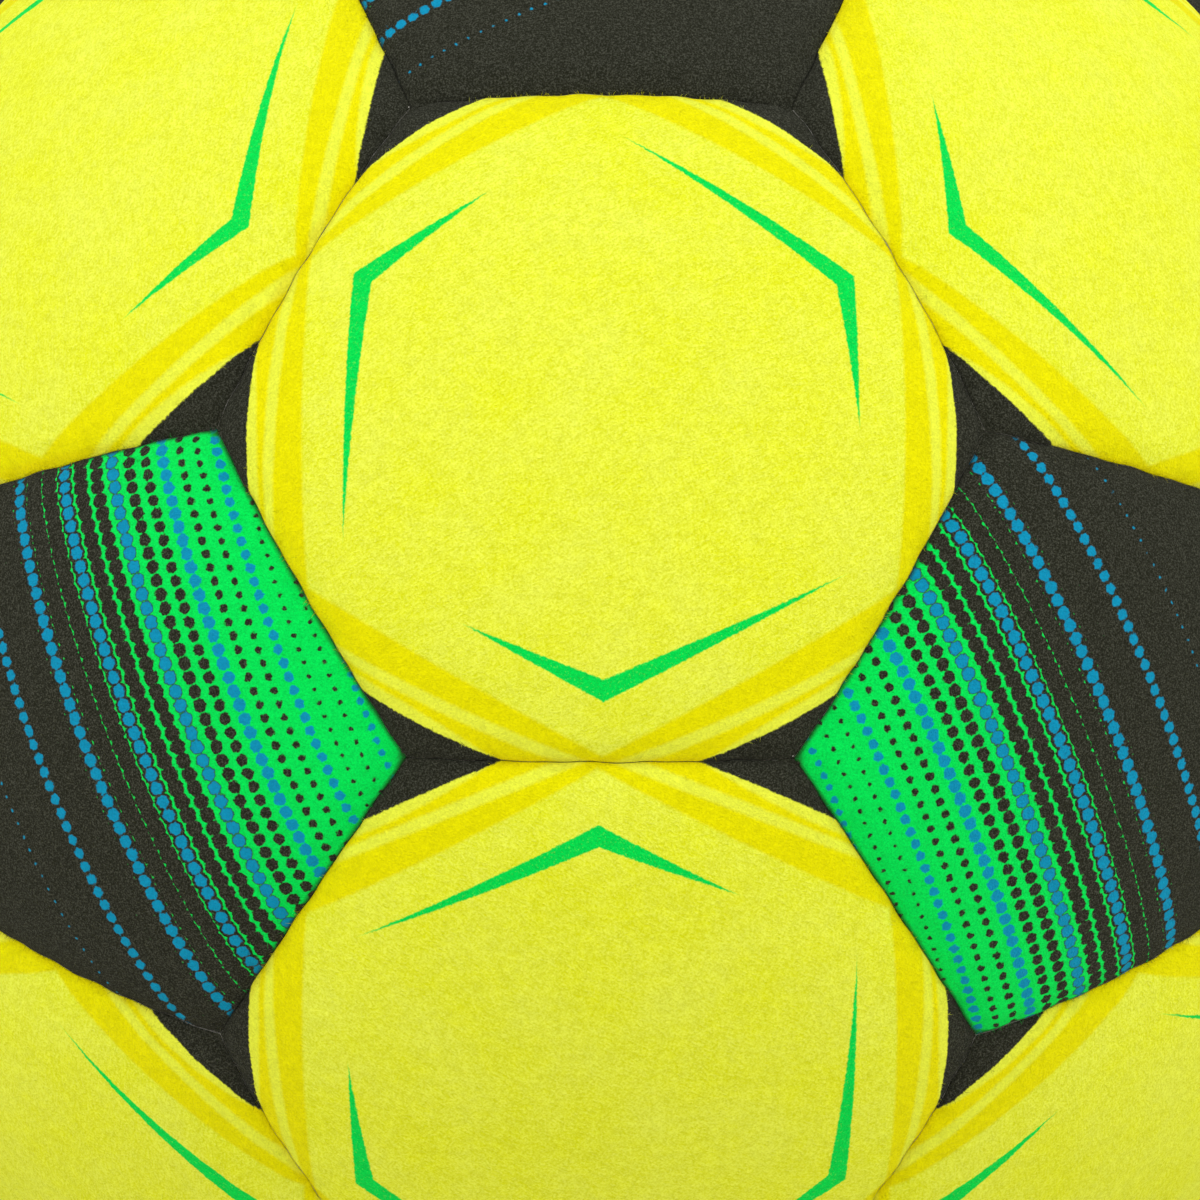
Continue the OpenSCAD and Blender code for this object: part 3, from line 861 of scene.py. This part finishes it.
# Bladder
# A moulded butyl rubber ball that holds the air, put in through the last open seam. The solid stays, and
# gets dull black rubber with the bloom of moulding dust.
RUBBER_BLACK = (0.012, 0.012, 0.013, 1)
RUBBER_BLOOM = (0.05, 0.05, 0.05, 1)
DUST_SIZE = 6 * MM
SKIN_SIZE = 0.25 * MM
SKIN_DEPTH = 0.03 * MM
DUST_ROUGHNESS = 0.2

# Moulded rubber: a fine skin, and dust that lies in clouds
rubber, rubber_in, rubber_out = new_group(
    "moulded_rubber",
    [("Vector", "NodeSocketVector"), ("Bloom", "NodeSocketFloat")],
    [("Dust", "NodeSocketFloat"), ("Skin", "NodeSocketFloat")],
)
rubber_place = rubber_in.outputs["Vector"]
dust = soft_step(rubber, noise(rubber, rubber_place, DUST_SIZE, detail=5.0, roughness=0.65), 0.38, 0.72)
feed(rubber, rubber_out.inputs["Dust"], calc(rubber, "MULTIPLY", dust, rubber_in.outputs["Bloom"]))
feed(rubber, rubber_out.inputs["Skin"], noise(rubber, rubber_place, SKIN_SIZE))


def rubber_finish(name, dark, pale, bloom, roughness):
    """A rubber with its share of dust, which is rougher where the dust lies."""
    finish, tree, shader = new_finish(name, Specular_IOR_Level=0.4)
    skin = add_node(tree, "ShaderNodeGroup", node_tree=rubber)
    feed(tree, skin.inputs["Vector"], object_place(tree))
    skin.inputs["Bloom"].default_value = bloom
    feed(tree, shader.inputs["Base Color"], mix_colour(tree, skin.outputs["Dust"], dark, pale))
    feed(tree, shader.inputs["Roughness"],
         soft_step(tree, skin.outputs["Dust"], 0.0, 1.0, roughness, roughness + DUST_ROUGHNESS))
    raise_surface(tree, shader, skin.outputs["Skin"], SKIN_DEPTH, strength=0.5)
    return finish


dress(rubber_finish("bladder_rubber", RUBBER_BLACK, RUBBER_BLOOM, bloom=0.9, roughness=0.5), "bladder")


# Patches
# Two round rubber patches cured on the bladder: one holds the valve, and a thicker one opposite it keeps
# the ball in balance. The solids stay.
PATCH_GREY = (0.03, 0.03, 0.032, 1)
patch_finish = rubber_finish("patch_rubber", PATCH_GREY, RUBBER_BLOOM, bloom=0.6, roughness=0.6)
dress(patch_finish, "valve_patch", "balance_patch")


# Valve body
# A moulded rubber valve: its tube hangs inside the bladder, its flange is bonded to the patch, and its
# neck stands in the cover's hole just below the felt.
BLADDER_PATCH_R = 104.16 * MM
FLANGE_TOP_R = 104.9 * MM
FLANGE_R = 10 * MM
TUBE_R = 6 * MM
NECK_R = 4.5 * MM
NECK_TOP = 108.8 * MM
TUBE_END = 86 * MM
HEAD_SEAT_R = 3.4 * MM
HEAD_SEAT = 107.1 * MM
PLUG_BORE_R = 2.55 * MM
PLUG_BORE_END = 90.8 * MM
NEEDLE_EXIT_R = 1.2 * MM
TURNING_STEPS = 72
MERGE_DISTANCE = 0.002 * MM
MOULDED_SMOOTH_ANGLE = math.radians(40)


def on_sphere(sphere_r, out_r):
    """The height of a sphere at a distance from the valve's axis."""
    return math.sqrt(sphere_r ** 2 - out_r ** 2)


def rounded(corners, closed, steps=5):
    """A profile whose corners, each (radius, height, rounding), are turned into small curves."""
    points = []
    for k, (out_r, up, rounding) in enumerate(corners):
        here = Vector((out_r, up))
        if rounding == 0 or (not closed and k in (0, len(corners) - 1)):
            points.append(here)
            continue
        start = here + (Vector(corners[k - 1][:2]) - here).normalized() * rounding
        end = here + (Vector(corners[(k + 1) % len(corners)][:2]) - here).normalized() * rounding
        for t in np.linspace(0, 1, steps + 1):
            points.append(start * (1 - t) ** 2 + here * 2 * t * (1 - t) + end * t ** 2)
    return points


def turned(name, corners, closed, finish, body, replaced):
    """A piece moulded round the valve's axis, from the profile of one side."""
    points = rounded(corners, closed)
    edges = [(k, k + 1) for k in range(len(points) - 1)] + ([(len(points) - 1, 0)] if closed else [])
    mesh = bpy.data.meshes.new(name)
    mesh.from_pydata([(p.x, 0, p.y) for p in points], edges, [])
    piece = bpy.data.objects.new(name, mesh)
    bpy.context.scene.collection.objects.link(piece)
    bpy.ops.object.select_all(action="DESELECT")
    piece.select_set(True)
    bpy.context.view_layer.objects.active = piece
    screw = piece.modifiers.new("round", "SCREW")
    screw.angle = 2 * math.pi
    screw.steps = screw.render_steps = TURNING_STEPS
    screw.use_merge_vertices = True
    screw.merge_threshold = MERGE_DISTANCE
    bpy.ops.object.modifier_apply(modifier=screw.name)
    bpy.ops.object.mode_set(mode="EDIT")
    bpy.ops.mesh.select_all(action="SELECT")
    bpy.ops.mesh.remove_doubles(threshold=MERGE_DISTANCE)
    bpy.ops.mesh.normals_make_consistent(inside=False)
    bpy.ops.object.mode_set(mode="OBJECT")
    bpy.ops.object.shade_smooth_by_angle(angle=MOULDED_SMOOTH_ANGLE)
    piece.data.transform(facing(valve_axis, Vector((0, 1, 0))))
    piece.data.materials.append(finish)
    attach(piece, body)
    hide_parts(replaced)


valve_finish = rubber_finish("valve_rubber", RUBBER_BLACK, RUBBER_BLOOM, bloom=0.5, roughness=0.45)
turned("valve_moulding", [
    (NEEDLE_EXIT_R, TUBE_END, 0.3 * MM), (TUBE_R, TUBE_END, 0.8 * MM),
    (TUBE_R, on_sphere(BLADDER_PATCH_R, TUBE_R), 0.2 * MM),
    (FLANGE_R, on_sphere(BLADDER_PATCH_R, FLANGE_R), 0.1 * MM),
    (FLANGE_R, on_sphere(FLANGE_TOP_R, FLANGE_R), 0.3 * MM),
    (NECK_R, on_sphere(FLANGE_TOP_R, NECK_R), 0.2 * MM),
    (NECK_R, NECK_TOP, 0.35 * MM), (HEAD_SEAT_R, NECK_TOP, 0.25 * MM), (HEAD_SEAT_R, HEAD_SEAT, 0.1 * MM),
    (PLUG_BORE_R, HEAD_SEAT, 0.15 * MM), (PLUG_BORE_R, PLUG_BORE_END, 0.2 * MM),
    (NEEDLE_EXIT_R, PLUG_BORE_END, 0.2 * MM),
], True, valve_finish, "ball", "valve_body")


# Valve plug
# A soft rubber plug pressed into the valve: its head sits in the neck, rings of grooves grip the bore, and
# a funnel leads the pump's needle into a hole that closes by itself.
PLUG_HEAD_R = 3.3 * MM
PLUG_HEAD_TOP = 108.8 * MM
PLUG_HEAD_BOTTOM = 107.2 * MM
PLUG_SHAFT_R = 2.5 * MM
PLUG_TIP = 91.2 * MM
GROOVE_R = 2.2 * MM
GROOVE_H = 0.8 * MM
GROOVE_PITCH = 2 * MM
NEEDLE_R = 1.1 * MM
NEEDLE_END = 95.8 * MM
FUNNEL_R = 2 * MM
FUNNEL_T = 0.9 * MM
PLUG_GREY = (0.035, 0.036, 0.038, 1)

plug_corners = [(0, PLUG_TIP, 0), (PLUG_SHAFT_R, PLUG_TIP, 0.5 * MM)]
for k in (1, 2, 3):
    groove = PLUG_TIP + k * GROOVE_PITCH
    plug_corners += [
        (PLUG_SHAFT_R, groove, 0.12 * MM), (GROOVE_R, groove, 0.1 * MM),
        (GROOVE_R, groove + GROOVE_H, 0.1 * MM), (PLUG_SHAFT_R, groove + GROOVE_H, 0.12 * MM),
    ]
plug_corners += [
    (PLUG_SHAFT_R, PLUG_HEAD_BOTTOM, 0.15 * MM), (PLUG_HEAD_R, PLUG_HEAD_BOTTOM, 0.2 * MM),
    (PLUG_HEAD_R, PLUG_HEAD_TOP, 0.35 * MM), (FUNNEL_R, PLUG_HEAD_TOP, 0.15 * MM),
    (NEEDLE_R, PLUG_HEAD_TOP - FUNNEL_T, 0.25 * MM), (NEEDLE_R, NEEDLE_END, 0.3 * MM), (0, NEEDLE_END, 0),
]
plug_finish = rubber_finish("plug_rubber", PLUG_GREY, RUBBER_BLOOM, bloom=0.4, roughness=0.4)
turned("valve_plug_moulding", plug_corners, False, plug_finish, "plug", "valve_plug")


# Stage
# A pale floor under the ball, which fades into a white surround. Two large soft lamps stand above and in
# front, with weak ones at the sides, low in front and behind.
FLOOR_PALE = (0.72, 0.685, 0.615, 1)
FLOOR_MOTTLE = (0.73, 0.695, 0.625, 1)
MOTTLE_SIZE = 0.15
FLOOR_SIZE = 12
FLOOR_GAP = 0.2 * MM
FLOOR_FADE = (0.4, 1.5)
SURROUND_LIGHT = 0.64
WHITE = (1, 1, 1, 1)
# Each lamp's place, its width and its power
LAMPS = {
    "left_light": ((-1.1, -0.75, 1.42), 1.2, 12.6),
    "right_light": ((1.15, -0.75, 1.42), 1.2, 13.0),
    "left_side_light": ((-1.6, 0.1, 0.5), 1.0, 3.6),
    "right_side_light": ((1.6, 0.1, 0.5), 1.0, 3.9),
    "front_light": ((0, -1.6, 0.3), 1.0, 2.9),
    "back_light": ((0.2, 1.5, 1.3), 1.2, 8),
}


def to_background(tree):
    """Where a ray shows the background and doesn't light the ball."""
    ray = add_node(tree, "ShaderNodeLightPath").outputs
    seen = calc(tree, "MAXIMUM", ray["Is Camera Ray"], ray["Is Glossy Ray"])
    return calc(tree, "MAXIMUM", seen, ray["Is Transmission Ray"])


bpy.ops.object.select_all(action="DESELECT")
bpy.ops.mesh.primitive_plane_add(size=FLOOR_SIZE, location=(0, 0, cad_box[0][2] - FLOOR_GAP))
floor = bpy.context.object
floor.name = "floor"
floor_finish, tree, shader = new_finish("pale_floor", Roughness=0.8, Specular_IOR_Level=0.2)
mottle = soft_step(tree, noise(tree, object_place(tree), MOTTLE_SIZE, detail=3.0), 0.3, 0.7)
feed(tree, shader.inputs["Base Color"], mix_colour(tree, mottle, FLOOR_PALE, FLOOR_MOTTLE))
# Away from the ball, the floor fades into the white of the surround
away = add_node(tree, "ShaderNodeVectorMath", {0: object_place(tree)}, operation="LENGTH").outputs["Value"]
faded = calc(tree, "MULTIPLY", soft_step(tree, away, *FLOOR_FADE), to_background(tree))
white = add_node(tree, "ShaderNodeEmission", {"Color": WHITE, "Strength": 1.0})
floor_mix = add_node(tree, "ShaderNodeMixShader", {0: faded, 1: shader.outputs[0], 2: white.outputs[0]})
feed(tree, tree.nodes["Material Output"].inputs["Surface"], floor_mix.outputs[0])
floor.data.materials.append(floor_finish)

world = bpy.data.worlds.new("studio")
bpy.context.scene.world = world
world.use_nodes = True
tree = world.node_tree
surround = tree.nodes["Background"]
surround.inputs["Color"].default_value = WHITE
feed(tree, surround.inputs["Strength"],
     calc(tree, "MULTIPLY_ADD", to_background(tree), 1.0 - SURROUND_LIGHT, SURROUND_LIGHT))

for name, (place, width, power) in LAMPS.items():
    bpy.ops.object.light_add(type="AREA", location=place)
    lamp = bpy.context.object
    lamp.name = name
    lamp.data.shape = "DISK"
    lamp.data.size = width
    lamp.data.energy = power
    lamp.rotation_euler = (-Vector(place)).to_track_quat("-Z", "Y").to_euler()
    lamp.visible_camera = False


# Camera
# It stands at the photograph's place, eight radii off and a little above the ball's middle.
CAMERA_DISTANCE = 0.88
CAMERA_ELEVATION = math.radians(10.029)
CAMERA_YAW = math.radians(0.447)
CAMERA_ROLL = math.radians(0.264)
AIM_RIGHT = 0.787 * MM
AIM_DOWN = 0.76 * MM
SENSOR_WIDTH = 36
LENS = 208.2
back = Vector((
    -math.sin(CAMERA_YAW) * math.cos(CAMERA_ELEVATION),
    -math.cos(CAMERA_YAW) * math.cos(CAMERA_ELEVATION),
    math.sin(CAMERA_ELEVATION),
))
right = Vector((math.cos(CAMERA_YAW), -math.sin(CAMERA_YAW), 0))
place = back * CAMERA_DISTANCE
aim = right * AIM_RIGHT - back.cross(right) * AIM_DOWN
bpy.ops.object.camera_add(location=place)
camera = bpy.context.object
camera.rotation_mode = "QUATERNION"
aimed = (aim - place).to_track_quat("-Z", "Y").to_matrix() @ Matrix.Rotation(CAMERA_ROLL, 3, "Z")
camera.rotation_quaternion = aimed.to_quaternion()
camera.data.sensor_width = SENSOR_WIDTH
camera.data.lens = LENS
bpy.context.scene.camera = camera
bpy.context.scene.view_settings.view_transform = "Standard"
